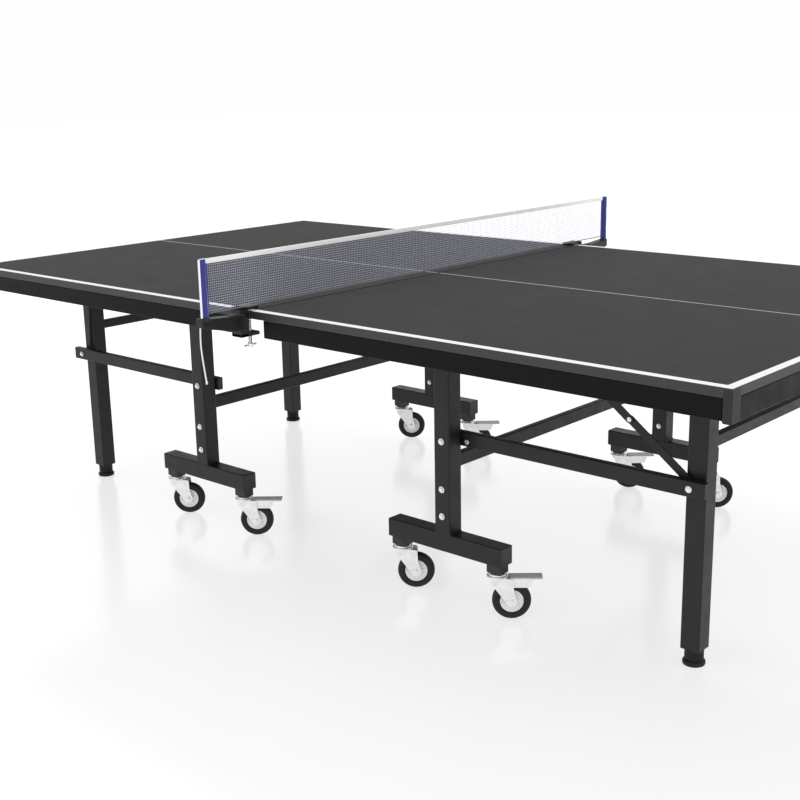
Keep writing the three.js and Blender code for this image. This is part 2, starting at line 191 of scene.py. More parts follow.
def line_paint():
    colour = (0.82, 0.82, 0.82)
    material, tree, shader = new_material("line_paint", colour, 0.55)
    two_tone(tree, shader, noise(tree, 120, 4), colour, 0.95)
    relief(tree, shader, noise(tree, 1200), 0.04)
    return material


def powder_coat(name, value, gloss):
    """Satin black powder coat: a fine orange peel, and broad faint changes of sheen."""
    colour = (value, value, value * 1.02)
    material, tree, shader = new_material(name, colour, 0.42)
    shader.inputs["Specular IOR Level"].default_value = gloss
    two_tone(tree, shader, noise(tree, 1400), colour, 0.75, 1.3)
    spread(tree, shader, noise(tree, 25, 3), 0.38, 0.5)
    relief(tree, shader, noise(tree, 650, 1), 0.06)
    return material


def zinc():
    """Bright zinc plate: pale, with soft cloudy patches from the bath."""
    colour = (0.88, 0.89, 0.9)
    material, tree, shader = new_material("zinc_plate", colour, 0.34, metallic=0.7)
    two_tone(tree, shader, noise(tree, 60, 5), colour, 0.84)
    spread(tree, shader, noise(tree, 140, 4), 0.26, 0.44)
    relief(tree, shader, noise(tree, 500, 3), 0.05)
    return material


def chrome():
    colour = (0.8, 0.8, 0.81)
    material, tree, shader = new_material("turned_steel", colour, 0.2, metallic=1.0)
    spread(tree, shader, noise(tree, 90, 4), 0.14, 0.3)
    relief(tree, shader, noise(tree, 400, 2, stretch=(1, 1, 9)), 0.03)
    return material


def rubber(name, value, grain_per_metre):
    """Black rubber or moulded plastic with a fine pebble and dusty high spots."""
    colour = (value, value * 1.02, value * 1.02)
    material, tree, shader = new_material(name, colour, 0.6)
    shader.inputs["Specular IOR Level"].default_value = 0.25
    two_tone(tree, shader, noise(tree, 70, 5), colour, 0.8, 1.35)
    spread(tree, shader, noise(tree, 45, 3), 0.5, 0.7)
    relief(tree, shader, noise(tree, grain_per_metre, 3), 0.12)
    return material


def moulded(name, colour, roughness, gloss=0.5):
    """Moulded plastic: a spark-eroded grain and barely uneven colour."""
    material, tree, shader = new_material(name, colour, roughness)
    shader.inputs["Specular IOR Level"].default_value = gloss
    two_tone(tree, shader, noise(tree, 35, 3), colour, 0.93, 1.04)
    spread(tree, shader, noise(tree, 60, 2), roughness - 0.05, roughness + 0.07)
    relief(tree, shader, noise(tree, 1500, 2), 0.05)
    return material


def woven(name, colour, across, along, pitch_mm, sheen, depth=0.62):
    """Woven webbing: threads both ways, darker between them, with a soft sheen."""
    material, tree, shader = new_material(name, colour, 0.75)
    weave = calculate(tree, "MULTIPLY", threads(tree, across, pitch_mm), threads(tree, along, pitch_mm))
    fluff = calculate(tree, "MULTIPLY", noise(tree, 2500, 2), 0.5)
    height = calculate(tree, "ADD", weave, fluff)
    two_tone(tree, shader, height, colour, depth)
    relief(tree, shader, height, 0.2, 0.8)
    shader.inputs["Sheen Weight"].default_value = sheen
    return material


def braided(name, colour, pitch_mm):
    """A round braid: diagonal plaits on the height, crossed by short ones round it."""
    material, tree, shader = new_material(name, colour, 0.8)
    plaits = calculate(tree, "MAXIMUM", threads(tree, "DIAGONAL", pitch_mm), threads(tree, "Z", pitch_mm))
    two_tone(tree, shader, plaits, colour, 0.7)
    relief(tree, shader, plaits, 0.25, 0.8)
    shader.inputs["Sheen Weight"].default_value = 0.2
    return material


LACQUER = lacquer()
BOARD_EDGE = painted_edge()
# Light grey strip material: a painted highlight standing for light caught along the board's lower edge.
EDGE_HIGHLIGHT_BEAD = moulded("painted_highlight_bead", (0.22, 0.22, 0.22), 0.35)
LINE = line_paint()
STEEL = powder_coat("black_powder_coat", 0.0095, 0.3)
# The aprons: the frame's powder coat made darker and duller, as painted shade on the apron faces.
APRON_SHADED_COAT = powder_coat("apron_coat_painted_shade", 0.0045, 0.09)
ZINC = zinc()
CHROME = chrome()
TYRE = rubber("tyre_rubber", 0.011, 900)
FOOT_RUBBER = rubber("foot_rubber", 0.009, 1300)
PLUG = moulded("black_plastic", (0.009, 0.009, 0.009), 0.5)
CAP = moulded("grey_corner_plastic", (0.026, 0.0265, 0.028), 0.5, gloss=0.2)
HUB = moulded("hub_plastic", (0.76, 0.77, 0.78), 0.4)
PEDAL_GREY = moulded("pedal_plastic", (0.5, 0.5, 0.51), 0.45)
BLUE = woven("blue_sleeve_nylon", (0.03, 0.034, 0.3), "X", "Z", 0.9, 0.3)
TAPE = woven("white_tape_weave", (0.96, 0.96, 0.96), "Y", "Z", 0.8, 0.2, depth=0.93)
NETTING = woven("net_twine", (0.5, 0.52, 0.64), "Y", "Z", 0.7, 0.2, depth=0.85)
HEM = woven("net_hem_cord", (0.17, 0.175, 0.23), "Y", "Z", 0.7, 0.2)
BRAID = braided("white_braid", (0.88, 0.88, 0.86), 1.6)


# ---- mesh helpers ----
def extent(node):
    """The (low, high) spans of a CAD node along X, Y and Z, in millimetres."""
    low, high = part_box(node)
    return [(low[k] / MM, high[k] / MM) for k in range(3)]


def placed(axis, a, b, along):
    """A point from two numbers across an axis and one along it."""
    if axis == "X":
        return Vector((along, a, b))
    if axis == "Y":
        return Vector((a, along, b))
    return Vector((a, b, along))


def arc(centre, radius, start, end, steps):
    """Points round an arc, with its angles in degrees."""
    angles = [math.radians(start + (end - start) * k / steps) for k in range(steps + 1)]
    return [(centre[0] + radius * math.cos(t), centre[1] + radius * math.sin(t)) for t in angles]


def cuboid(x, y, z):
    """A new form holding a plain box, and its sorted spans."""
    spans = [sorted(span) for span in (x, y, z)]
    form = bmesh.new()
    bmesh.ops.create_cube(form, size=1.0)
    for vert in form.verts:
        vert.co = Vector([sum(s) / 2 + c * (s[1] - s[0]) for s, c in zip(spans, vert.co)])
    return form, spans


def ease(form, edges, radius, segments):
    bmesh.ops.bevel(
        form, geom=edges, offset=radius, segments=segments,
        profile=0.5, affect="EDGES", clamp_overlap=True,
    )


def skin(form, rings):
    """Closes a form over rings of as many points each, with a cap at both ends."""
    count = len(rings[0])
    for first, second in zip(rings, rings[1:]):
        for k in range(count):
            after = (k + 1) % count
            form.faces.new([first[k], first[after], second[after], second[k]])
    form.faces.new(rings[0])
    form.faces.new(rings[-1])


def run_at(points, k):
    """The direction of a path of (y, z) points at its point k, as a (y, z) vector."""
    ahead = points[min(k + 1, len(points) - 1)]
    behind = points[max(k - 1, 0)]
    return Vector((ahead[0] - behind[0], ahead[1] - behind[1])).normalized()


class Shape:
    """Closed forms in millimetres, gathered into one mesh, each in one of its materials."""

    def __init__(self, *materials):
        self.whole = bmesh.new()
        self.materials = materials

    def take(self, form, material):
        bmesh.ops.recalc_face_normals(form, faces=form.faces)
        for face in form.faces:
            face.material_index = self.materials.index(material)
            face.smooth = True
        mesh = bpy.data.meshes.new("form")
        form.to_mesh(mesh)
        form.free()
        self.whole.from_mesh(mesh)
        bpy.data.meshes.remove(mesh)

    def block(self, x, y, z, radius, material, segments=3):
        """A box with all its edges rounded."""
        form = cuboid(x, y, z)[0]
        ease(form, form.edges[:], radius, segments)
        self.take(form, material)

    def tube(self, axis, x, y, z, radius, material):
        """A drawn tube along an axis: rounded along its length, crisp at its ends."""
        form, spans = cuboid(x, y, z)
        along = "XYZ".index(axis)

        def length_along(edge):
            return abs(edge.verts[0].co[along] - edge.verts[1].co[along])

        def at_end(vert):
            return min(abs(vert.co[along] - end) for end in spans[along]) < TINY

        ease(form, [edge for edge in form.edges if length_along(edge) > TINY], radius, 5)
        end_edges = [
            edge for edge in form.edges
            if all(at_end(vert) for vert in edge.verts) and length_along(edge) < TINY
        ]
        bmesh.ops.bevel(form, geom=end_edges, offset=0.5, segments=2, profile=0.5, affect="EDGES")
        self.take(form, material)

    def lathe(self, axis, centre, profile, material, sides=32, closed=False):
        """Turns (radius, along) points round a line through centre. A closed profile is a ring."""
        form = bmesh.new()
        rings = []
        for radius, along in profile:
            if radius < TINY:
                rings.append([form.verts.new(placed(axis, centre[0], centre[1], along))])
                continue
            ring = []
            for k in range(sides):
                t = 2 * math.pi * k / sides
                a = centre[0] + radius * math.cos(t)
                b = centre[1] + radius * math.sin(t)
                ring.append(form.verts.new(placed(axis, a, b, along)))
            rings.append(ring)
        pairs = list(zip(rings, rings[1:]))
        if closed:
            pairs.append((rings[-1], rings[0]))
        for first, second in pairs:
            for k in range(sides):
                after = (k + 1) % sides
                corners = [first[k % len(first)], first[after % len(first)]]
                corners += [second[after % len(second)], second[k % len(second)]]
                form.faces.new(list(dict.fromkeys(corners)))
        self.take(form, material)

    def rod(self, axis, centre, radius, span, material, sides=24, chamfer=0.6):
        low, high = sorted(span)
        bevel = min(chamfer, (high - low) / 3)
        profile = [
            (0, low), (radius - bevel, low), (radius, low + bevel),
            (radius, high - bevel), (radius - bevel, high), (0, high),
        ]
        self.lathe(axis, centre, profile, material, sides)

    def bolt(self, axis, centre, face, way, radius, material):
        """A washer and a hexagon head on a face, standing out along way (1 or -1)."""
        self.rod(axis, centre, radius, (face, face + way * 1.4), material, chamfer=0.4)
        head = (face + way * 1.2, face + way * (1.2 + radius * 0.5))
        self.rod(axis, centre, radius * 0.7, head, material, sides=6, chamfer=0.8)

    def plate(self, outline, axis, span, material, edge=0.4):
        """An outline across an axis, extruded over a span, with its rims eased."""
        low, high = sorted(span)
        form = bmesh.new()
        bottom = [form.verts.new(placed(axis, a, b, low)) for a, b in outline]
        top = [form.verts.new(placed(axis, a, b, high)) for a, b in outline]
        rims = [form.faces.new(bottom), form.faces.new(top)]
        count = len(outline)
        for k in range(count):
            after = (k + 1) % count
            form.faces.new([bottom[k], bottom[after], top[after], top[k]])
        rim_edges = [rim_edge for face in rims for rim_edge in face.edges]
        bmesh.ops.bevel(form, geom=rim_edges, offset=edge, segments=2, profile=0.5, affect="EDGES")
        self.take(form, material)

    def mesh(self, name, turn=0):
        """The finished mesh in metres, turned about Z by some degrees."""
        matrix = Matrix.Scale(MM, 4) @ Matrix.Rotation(math.radians(turn), 4, "Z")
        bmesh.ops.transform(self.whole, matrix=matrix, verts=self.whole.verts)
        mesh = bpy.data.meshes.new(name)
        self.whole.to_mesh(mesh)
        self.whole.free()
        for material in self.materials:
            mesh.materials.append(material)
        mesh.set_sharp_from_angle(angle=SHARP_ANGLE)
        return mesh


def show(name, mesh, body, replaces=(), place=(0, 0, 0)):
    """Puts a mesh in the scene, riding on a body and standing for CAD nodes."""
    piece = bpy.data.objects.new(name, mesh)
    piece.location = Vector(place) * MM
    bpy.context.scene.collection.objects.link(piece)
    normals = piece.modifiers.new("even_normals", "WEIGHTED_NORMAL")
    normals.keep_sharp = True
    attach(piece, body)
    if replaces:
        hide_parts(*replaces)
    return piece


def on_side(side, near, far):
    return (side * near, side * far)


def thread_profile(crest, low, high):
    """The (radius, z) points of a threaded rod: shallow grooves between low and high."""
    root = crest - 0.8
    profile = [(0, low)]
    z = low
    while z < high:
        profile += [(root, z), (crest, z + 0.7)]
        z += 1.4
    profile += [(root, z), (0, z)]
    return profile


# ---- dimensions in the right half's place, in millimetres ----
# From the frame
BOARD_X, BOARD_Y, BOARD_Z = extent("right_board")
HALF_WIDTH = BOARD_Y[1]
END_X, END_Y, END_Z = extent("right_end_rail")
FRAME_TOP = END_Z[1]
RAIL_X, RAIL_Y = extent("right_back_side_rail")[:2]
T_X, T_Y, T_Z = extent("right_back_t_frame")
CARRIAGE_X, CARRIAGE_Y, CARRIAGE_Z = extent("right_carriage_crossbar")
LEG_BAR_X, LEG_BAR_Y, LEG_BAR_Z = extent("right_leg_crossbar")
LINK_X, LINK_Y, LINK_Z = extent("right_back_link_rail")
LEG_Y, LEG_Z = extent("right_back_end_leg")[1:]
FOOT_X, _, FOOT_Z = extent("right_back_foot")
WHEEL_Z = extent("right_back_outer_wheel")[2]
POST_Y = extent("back_net_post")[1]
NET_Y, NET_Z = extent("net")[1:]

PIVOT_LOW = sum(LINK_Z) / 2
T_POST_X = sum(CARRIAGE_X) / 2
LEG_CENTRE_X = sum(LEG_BAR_X) / 2
MOUNT_BOTTOM = T_Z[0]
AXLE_Z = sum(WHEEL_Z) / 2
WHEEL_RADIUS = (WHEEL_Z[1] - WHEEL_Z[0]) / 2
PEDAL_TOP = extent("right_front_brake_pedal")[2][1]

# Tabletop and apron
LINE_WIDTH = 20
CENTRE_LINE = 3
APRON_DEPTH = 19.5
APRON_BOTTOM = 691
STUB_HALF = 15
STUB_WALL = 2
STUB_GAP = 3

# T-frames and end legs
TUBE = 50
TUBE_RADIUS = 4
BEAM_BOTTOM = 148
MOUNT_HALF = (22, 18)
POST_BOLTS = (317, 244)
BOLT = 9
PIVOT_TOP = 700
PIN = 6
T_PIN_END = 513
T_CENTRE_Y = T_Y[1] - TUBE / 2
LEG_CENTRE_Y = LEG_Y[0] + TUBE / 2
STUD_RADIUS = 6

# Folding stays and leg struts
STAY_TOP = (810, PIVOT_TOP)
STAY_BOTTOM = (LEG_CENTRE_X, PIVOT_LOW)
STAY_KNEE = ((STAY_TOP[0] + STAY_BOTTOM[0]) / 2, (STAY_TOP[1] + STAY_BOTTOM[1]) / 2)
STRUT_TOP = (1131, 668)
STAY_HALF = 10
STAY_LOW_Y = (484.3, 486.8)
STAY_HIGH_Y = (487.1, 489.6)
HANGER_Y = (480, 483)
RIVET = 6

# Casters
TRAIL = 36
REST_SWIVEL = 40
CASTER_OFFSET = 160
TYRE_HALF = 13
BOSS_HALF = 16.5
FORK_HALF = 20
FORK_PLATE = 2.5
CROWN_TOP = 113.8
PEDAL_TIP = 114
PEDAL_HALF = 16.7
PEDAL_PIN = (25, 107)
PEDAL_PIN_RADIUS = 3.2
SKIRT_BOTTOM = 88

# Net and clamps
SCREW_X, SCREW_Y, SCREW_Z = extent("back_clamp_screw")
CLAMP_Y, CLAMP_Z = extent("back_net_clamp")[1:]
CLAMP_X = (-45, -6)
CLAMP_OUTER = 790.3
POST_FOOT = 755
SLEEVE_BOTTOM = 766
TAPE_DEPTH = 13
CELL = 6.5
STRAND = 0.45
STRAP_HALF = 3
STRAP_THICK = 0.8
STRAP_OUT = 10.8
STRAP_TURN = 13


# ---- tabletop ----
def board_shape():
    """The playing board, with its lines in their own paint on the same flat top, and a painted highlight
    strip under each long edge.
    """
    shape = Shape(LACQUER, LINE, BOARD_EDGE, EDGE_HIGHLIGHT_BEAD)
    shape.block(BOARD_X, BOARD_Y, BOARD_Z, 1.6, BOARD_EDGE)
    form = shape.whole
    cuts = [((BOARD_X[1] - LINE_WIDTH, 0, 0), (1, 0, 0))]
    for y in (HALF_WIDTH - LINE_WIDTH, CENTRE_LINE / 2, -CENTRE_LINE / 2, LINE_WIDTH - HALF_WIDTH):
        cuts.append(((0, y, 0), (0, 1, 0)))
    for point, normal in cuts:
        everything = form.verts[:] + form.edges[:] + form.faces[:]
        bmesh.ops.bisect_plane(form, geom=everything, plane_co=point, plane_no=normal)
    for face in form.faces:
        middle = face.calc_center_median()
        if middle.z < BOARD_Z[1] - 0.8:
            continue
        at_side = abs(middle.y) > HALF_WIDTH - LINE_WIDTH
        at_end = middle.x > BOARD_X[1] - LINE_WIDTH
        at_centre = abs(middle.y) < CENTRE_LINE / 2
        face.material_index = 1 if at_side or at_end or at_centre else 0
    # A thin light grey strip under each long side's lower edge: a painted highlight.
    highlight_bead_z = (BOARD_Z[0] + 0.2, BOARD_Z[0] + 1.6)
    for side in (-1, 1):
        highlight_bead_y = on_side(side, HALF_WIDTH - 2.5, HALF_WIDTH - 0.4)
        shape.block((BOARD_X[0] + 1, END_X[0] - 1), highlight_bead_y, highlight_bead_z, 0.6, EDGE_HIGHLIGHT_BEAD)
    return shape


def add_pivot_stub(shape, side, x, y_inner, pin_end):
    """A channel reaching in from the side rail to a pivot pin, with the pin's end flange."""
    y = on_side(side, y_inner, HALF_WIDTH - APRON_DEPTH)
    z = (PIVOT_TOP - 10, FRAME_TOP)
    shape.block((x - STUB_HALF, x + STUB_HALF), y, (FRAME_TOP - 6, FRAME_TOP), 0.8, STEEL)
    for way in (-1, 1):
        wall = (x + way * STUB_HALF, x + way * (STUB_HALF - STUB_WALL))
        shape.block(wall, y, z, 0.8, STEEL)
    shape.block((x - STUB_HALF, x + STUB_HALF), on_side(side, y_inner, y_inner + 4), z, 0.8, STEEL)
    post_face = y_inner - STUB_GAP
    shape.rod("Y", (x, PIVOT_TOP), PIN, on_side(side, y_inner + 2, post_face + 0.1), ZINC)
    shape.rod("Y", (x, PIVOT_TOP), PIN + 3, on_side(side, y_inner + 3.5, y_inner + 7), ZINC)
    inner_face = post_face - TUBE
    shape.rod("Y", (x, PIVOT_TOP), PIN + 2, on_side(side, pin_end, inner_face - 0.2), ZINC, chamfer=0.4)


def add_stay_hanger(shape, side):
    x = (STAY_TOP[0] - STUB_HALF, STAY_TOP[0] + STUB_HALF)
    y = on_side(side, HANGER_Y[0], HALF_WIDTH - APRON_DEPTH)
    shape.block(x, y, (FRAME_TOP - 6, FRAME_TOP), 0.8, STEEL)
    outline = [(x[0] + 1, FRAME_TOP - 1), (x[0] + 1, PIVOT_TOP)]
    outline += arc(STAY_TOP, STAY_HALF, 180, 360, 8)
    outline += [(x[1] - 1, PIVOT_TOP), (x[1] - 1, FRAME_TOP - 1)]
    shape.plate(outline, "Y", on_side(side, *HANGER_Y), STEEL)


def side_rail_shape(side, has_stay):
    """A side's apron tube, with a stub and pin for the T-frame and for the leg."""
    shape = Shape(APRON_SHADED_COAT, STEEL, PLUG, ZINC)
    y = on_side(side, RAIL_Y[1] - APRON_DEPTH, RAIL_Y[1])
    shape.tube("X", (RAIL_X[0] + 1, RAIL_X[1]), y, (APRON_BOTTOM, FRAME_TOP), 3, APRON_SHADED_COAT)
    plug_y = on_side(side, RAIL_Y[1] - APRON_DEPTH + 0.8, RAIL_Y[1] - 0.8)
    shape.block((RAIL_X[0] - 0.5, RAIL_X[0] + 2), plug_y, (APRON_BOTTOM + 0.8, FRAME_TOP - 0.8), 1, PLUG)
    add_pivot_stub(shape, side, T_POST_X, T_Y[1] + STUB_GAP, T_PIN_END)
    add_pivot_stub(shape, side, LEG_CENTRE_X, LEG_CENTRE_Y + TUBE / 2 + STUB_GAP, LEG_Y[0] - 4)
    if has_stay:
        add_stay_hanger(shape, side)
    return shape


def end_rail_shape():
    shape = Shape(APRON_SHADED_COAT)
    shape.tube("Y", END_X, (END_Y[0] + 1, END_Y[1] - 1), END_Z, 3, APRON_SHADED_COAT)
    return shape


def corner_cap_shape(side):
    """A grey moulded cap round the outer corner, from below the apron up beside the board."""
    shape = Shape(CAP)
    x = (END_X[0], BOARD_X[1] + 1.0)
    y = on_side(side, HALF_WIDTH - 38, HALF_WIDTH + 1.0)
    shape.block(x, y, (END_Z[0] - 1, BOARD_Z[1] - 2.5), 4, CAP, segments=4)
    return shape


# ---- carriage ----
def t_frame_shape(side):
    """A welded upright and base beam, with mount blocks for two casters and its bolts."""
    shape = Shape(STEEL, PLUG, ZINC)
    y = on_side(side, T_Y[1] - TUBE, T_Y[1])
    beam_top = BEAM_BOTTOM + TUBE
    post_x = (T_POST_X - TUBE / 2, T_POST_X + TUBE / 2)
    shape.tube("Z", post_x, y, (beam_top - 1, T_Z[1]), TUBE_RADIUS, STEEL)
    shape.tube("X", (T_X[0] + 2, T_X[1] - 2), y, (BEAM_BOTTOM, beam_top), TUBE_RADIUS, STEEL)
    plug_y = on_side(side, T_Y[1] - TUBE + 1, T_Y[1] - 1)
    for end in ((T_X[0], T_X[0] + 4), (T_X[1] - 4, T_X[1])):
        shape.block(end, plug_y, (BEAM_BOTTOM + 1, beam_top - 1), 1.5, PLUG)
    for way in (-1, 1):
        weld_x = T_POST_X + way * TUBE / 2
        weld = [(weld_x - way, beam_top - 1), (weld_x + way * 4, beam_top - 1)]
        weld.append((weld_x - way, beam_top + 4))
        shape.plate(weld, "Y", on_side(side, T_Y[1] - TUBE + 3, T_Y[1] - 3), STEEL, edge=0.8)
        mount_x = T_POST_X + way * CASTER_OFFSET
        mount_y = (side * T_CENTRE_Y - MOUNT_HALF[1], side * T_CENTRE_Y + MOUNT_HALF[1])
        span = (mount_x - MOUNT_HALF[0], mount_x + MOUNT_HALF[0])
        shape.block(span, mount_y, (MOUNT_BOTTOM, BEAM_BOTTOM + 1), 2.5, PLUG)
    face = side * T_Y[1]
    shape.bolt("Y", (T_POST_X, PIVOT_LOW), face, side, BOLT, ZINC)
    inner_face = T_Y[1] - TUBE
    for z in POST_BOLTS:
        shape.bolt("Y", (T_POST_X, z), face, side, BOLT, ZINC)
        shape.bolt("Y", (T_POST_X, z), side * inner_face, -side, BOLT - 1, ZINC)
    shape.rod("Y", (T_POST_X, PIVOT_LOW), PIN, on_side(side, inner_face + 1, LINK_Y[0] - 1), ZINC)
    shape.rod("Y", (T_POST_X, PIVOT_LOW), PIN + 3, on_side(side, LINK_Y[0] - 1.6, LINK_Y[0] - 0.3), ZINC)
    return shape


def crossbar_shape(x, y, z):
    """A flat tube between two uprights, with a welded foot plate at each end."""
    shape = Shape(STEEL)
    shape.tube("Y", x, y, z, 3, STEEL)
    plate_x = (x[0] - 5, x[1] + 5)
    plate_z = (z[0] - 4, z[1] + 4)
    for side, end in ((-1, y[0]), (1, y[1])):
        shape.block(plate_x, (end, end - side * 2), plate_z, 0.8, STEEL)
    return shape


# ---- links, legs and stays ----
def link_rail_shape(side):
    """The fold's lower bar, plugged at both ends, with a pivot washer and a stop rivet."""
    shape = Shape(STEEL, PLUG, ZINC)
    y = on_side(side, *LINK_Y)
    shape.tube("X", (LINK_X[0] + 1.5, LINK_X[1] - 1.5), y, LINK_Z, 3, STEEL)
    plug_y = on_side(side, LINK_Y[0] + 0.8, LINK_Y[1] - 0.8)
    for end in ((LINK_X[0], LINK_X[0] + 3), (LINK_X[1] - 3, LINK_X[1])):
        shape.block(end, plug_y, (LINK_Z[0] + 0.8, LINK_Z[1] - 0.8), 1, PLUG)
    washer = on_side(side, LINK_Y[1] - 0.5, LINK_Y[1] + 2.4)
    shape.rod("Y", (T_POST_X, PIVOT_LOW), PIN + 4, washer, ZINC)
    stop_rivet = (T_POST_X + 41, PIVOT_LOW - 6)
    shape.rod("Y", stop_rivet, 6.5, washer, ZINC, chamfer=1)
    return shape


def link_outline(start, end):
    """A flat link's round-ended outline between two pivots, in X and Z."""
    lean = math.degrees(math.atan2(end[1] - start[1], end[0] - start[0]))
    outline = arc(end, STAY_HALF, lean - 90, lean + 90, 10)
    return outline + arc(start, STAY_HALF, lean + 90, lean + 270, 10)


def end_leg_shape(side, has_strut):
    """An end leg with its pivot bolt, its plug, and on one leg of a half a flat rising strut."""
    shape = Shape(STEEL, PLUG, ZINC)
    x = (LEG_CENTRE_X - TUBE / 2, LEG_CENTRE_X + TUBE / 2)
    y = on_side(side, LEG_Y[0], LEG_Y[0] + TUBE)
    shape.tube("Z", x, y, (LEG_Z[0] + 1.6, LEG_Z[1]), TUBE_RADIUS, STEEL)
    inset = 0.9
    plug_x = (x[0] + inset, x[1] - inset)
    plug_y = on_side(side, LEG_Y[0] + inset, LEG_Y[0] + TUBE - inset)
    shape.block(plug_x, plug_y, (LEG_Z[0], LEG_Z[0] + 6), 3, PLUG)
    outer = LEG_Y[0] + TUBE
    pivot = (LEG_CENTRE_X, PIVOT_LOW)
    shape.rod("Y", pivot, PIN, on_side(side, outer - 1, LINK_Y[1] + 1), ZINC)
    shape.rod("Y", pivot, PIN + 4, on_side(side, outer - 0.5, outer + 5), ZINC)
    shape.bolt("Y", pivot, side * (LINK_Y[1] + 0.3), side, BOLT - 1, ZINC)
    if has_strut:
        strut = link_outline(pivot, STRUT_TOP)
        shape.plate(strut, "Y", on_side(side, *STAY_LOW_Y), STEEL)
        shape.rod("Y", STRUT_TOP, 4, on_side(side, outer - 0.5, STAY_LOW_Y[1] + 1), ZINC)
        head = on_side(side, STAY_LOW_Y[1], STAY_LOW_Y[1] + 2)
        shape.rod("Y", STRUT_TOP, RIVET, head, ZINC, chamfer=0.9)
    return shape


def stay_lower_shape(side):
    shape = Shape(STEEL, ZINC)
    shape.plate(link_outline(STAY_BOTTOM, STAY_KNEE), "Y", on_side(side, *STAY_LOW_Y), STEEL)
    shape.rod("Y", STAY_KNEE, 4, on_side(side, STAY_LOW_Y[0], STAY_HIGH_Y[1] + 1), ZINC)
    for head in ((STAY_LOW_Y[0] - 1.8, STAY_LOW_Y[0]), (STAY_HIGH_Y[1] + 0.3, STAY_HIGH_Y[1] + 1.8)):
        shape.rod("Y", STAY_KNEE, RIVET, on_side(side, *head), ZINC, chamfer=0.9)
    return shape


def stay_upper_shape(side):
    shape = Shape(STEEL, ZINC)
    shape.plate(link_outline(STAY_KNEE, STAY_TOP), "Y", on_side(side, *STAY_HIGH_Y), STEEL)
    shape.rod("Y", STAY_TOP, 5, on_side(side, HANGER_Y[1] + 0.3, STAY_HIGH_Y[1]), ZINC)
    shape.rod("Y", STAY_TOP, 7, on_side(side, STAY_HIGH_Y[1], STAY_HIGH_Y[1] + 1.8), ZINC, chamfer=0.9)
    return shape


def foot_shape():
    """The levelling foot: a round pad, a grooved collar, and a threaded stud up into the leg."""
    pad = (FOOT_X[1] - FOOT_X[0]) / 2
    neck = 20
    collar = 22.8
    profile = [(0, 0), (pad - 3, 0), (pad - 1, 1), (pad - 0.1, 3), (pad, 5), (pad, 8)]
    profile += [(pad - 0.7, 10), (pad - 2.4, 11.6), (pad - 4.5, 12), (neck + 0.8, 12.4), (neck, 13.2)]
    profile += [(neck, 15.6), (collar - 0.8, 16.6), (collar, 17.8)]
    for z in (21, 25, 29):
        profile += [(collar, z), (collar - 0.7, z + 0.6), (collar - 0.7, z + 1.4), (collar, z + 2)]
    profile += [(collar, LEG_Z[0] - 1), (collar - 0.7, LEG_Z[0] - 0.3), (0, LEG_Z[0] - 0.3)]
    shape = Shape(FOOT_RUBBER, ZINC)
    shape.lathe("Z", (0, 0), profile, FOOT_RUBBER, sides=40)
    shape.lathe("Z", (0, 0), thread_profile(STUD_RADIUS, LEG_Z[0] - 1.5, FOOT_Z[1] - 3), ZINC, sides=24)
    return shape


# ---- casters, each about its own swivel axis ----
def fork_shape():
    """Zinc plated: the swivel race, the crown, two raking cheeks with a rib, and the axle."""
    shape = Shape(ZINC)
    half = FORK_HALF
    axle = (TRAIL, AXLE_Z)
    back = -18
    stem_top = MOUNT_BOTTOM - 0.3
    race = [(0, 113.5), (26.5, 113.5), (28, 115), (28, 117.5), (26.5, 119), (22, 119.3)]
    race += [(21.5, 121), (20, 122.4), (11, 123), (9, 123.2), (9, stem_top), (0, stem_top)]
    shape.lathe("Z", (0, 0), race, ZINC, sides=40)
    shape.block((back, 19), (-half, half), (CROWN_TOP - 3, CROWN_TOP), 1.2, ZINC)
    outline = [(back, CROWN_TOP), (back, 102)] + arc(axle, 13, 205, 380, 12)
    outline += [(40, 84), (40, 108), (37, 112), (19, CROWN_TOP)]
    rib = [(-8, 104)] + arc((TRAIL - 4, AXLE_Z + 16), 4, 200, 340, 6) + [(26, 104)]
    for side in (-1, 1):
        shape.plate(outline, "Y", on_side(side, half - FORK_PLATE, half), ZINC, edge=0.6)
        shape.plate(rib, "Y", on_side(side, half - 0.5, half + 1.1), ZINC, edge=0.5)
        shape.rod("Y", axle, 8.5, on_side(side, half - 0.5, half + 1), ZINC)
        head = on_side(side, half + 0.8, half + 4)
        shape.rod("Y", axle, 6.5, head, ZINC, sides=6, chamfer=0.8)
    shape.rod("Y", axle, 4.8, (-half - 4.5, half + 4.5), ZINC)
    return shape


def tyre_shape():
    """The rubber tread and shoulders, with a lip that turns in over the hub's rim."""
    half = TYRE_HALF
    shape = Shape(TYRE)
    tread = [(WHEEL_RADIUS, 0), (WHEEL_RADIUS - 0.3, 4), (WHEEL_RADIUS - 1.5, 8)]
    tread += [(WHEEL_RADIUS - 4, half - 1.5), (WHEEL_RADIUS - 7, half), (34, half)]
    tread += [(32.5, half - 0.8), (31.2, half - 2.5), (29, half - 3)]
    mirrored = [(radius, -y) for radius, y in reversed(tread[1:])]
    shape.lathe("Y", (TRAIL, AXLE_Z), tread + mirrored, TYRE, sides=64, closed=True)
    return shape


